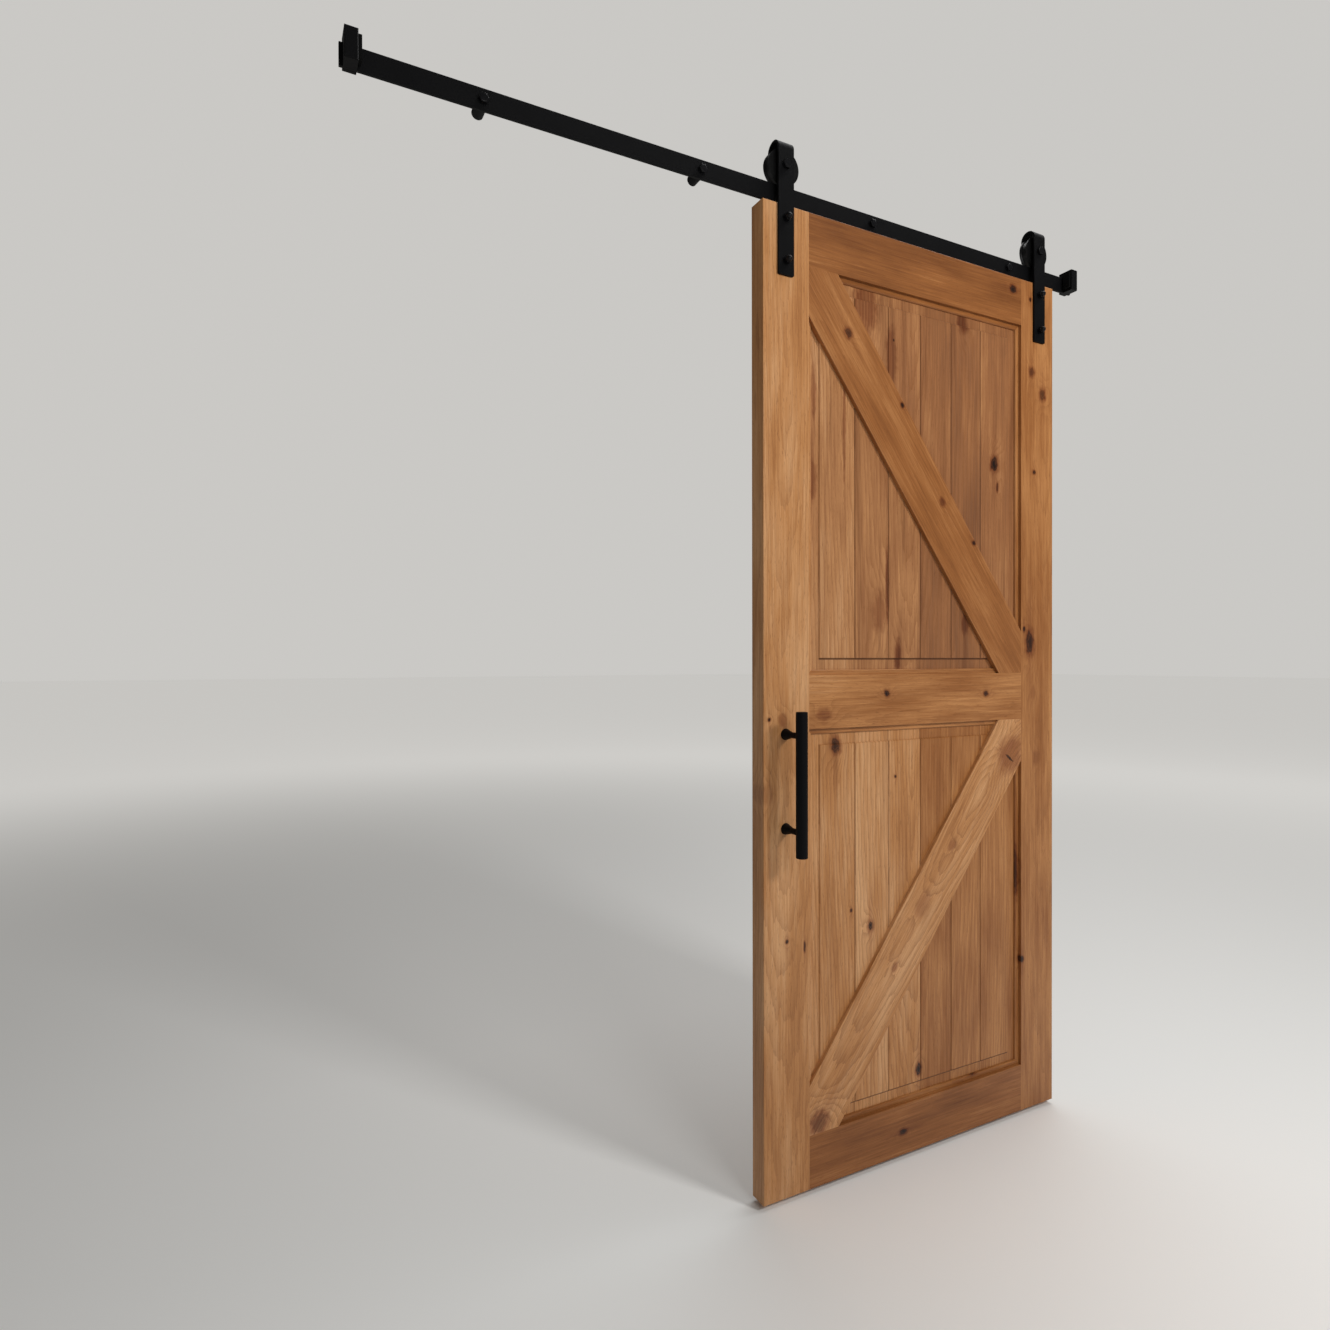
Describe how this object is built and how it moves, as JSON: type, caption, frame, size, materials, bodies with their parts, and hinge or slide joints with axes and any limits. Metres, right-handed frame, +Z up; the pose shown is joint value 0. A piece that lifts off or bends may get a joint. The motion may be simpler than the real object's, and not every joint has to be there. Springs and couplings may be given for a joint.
{
  "type": "sliding barn door",
  "caption": "Knotty wood barn door with moulded frame, vee-groove panels and diagonal braces, hung by bent straps and grooved wheels from a flat steel wall track, with a bar pull.",
  "frame": {"origin": "centre of the wall end of the second spacer from the left, at the middle of the rail's height", "axes": "+X right along the track, +Y into the wall, +Z up"},
  "size_m": [1.83, 0.1255, 2.272],
  "materials": {
    "alder": "satin clear finish",
    "black_steel": "matte black powder coat",
    "wheel": "matte black",
    "rubber": "matte"
  },
  "bodies": {
    "track": {"track_rail": "black_steel", "spacer_1": "black_steel", "spacer_2": "black_steel", "spacer_3": "black_steel", "spacer_4": "black_steel", "left_end_stop": "black_steel", "right_end_stop": "black_steel", "left_bumper": "rubber", "right_bumper": "rubber"},
    "door": {"left_stile": "alder", "right_stile": "alder", "top_rail": "alder", "middle_rail": "alder", "bottom_rail": "alder", "upper_panel": "alder", "lower_panel": "alder", "front_upper_brace": "alder", "back_upper_brace": "alder", "front_lower_brace": "alder", "back_lower_brace": "alder", "left_hanger_strap": "black_steel", "right_hanger_strap": "black_steel", "left_axle": "black_steel", "right_axle": "black_steel", "pull_handle": "black_steel"},
    "left_roller": {"left_wheel": "wheel"},
    "right_roller": {"right_wheel": "wheel"}
  },
  "joints": [
    {"name": "door_slide", "type": "slide", "parent": "track", "child": "door", "axis": [-1, 0, 0], "range_m": [-0.076, 0.82]},
    {"name": "left_wheel_spin", "type": "hinge", "parent": "door", "child": "left_roller", "pos_m": [0.197, -0.041, 0.0563], "axis": [0, 1, 0], "continuous": true},
    {"name": "right_wheel_spin", "type": "hinge", "parent": "door", "child": "right_roller", "pos_m": [0.997, -0.041, 0.0563], "axis": [0, 1, 0], "continuous": true}
  ],
  "couplings": [
    {"joint": "left_wheel_spin", "follows": "door_slide", "rad_per_m": -27.778},
    {"joint": "right_wheel_spin", "follows": "door_slide", "rad_per_m": -27.778}
  ]
}
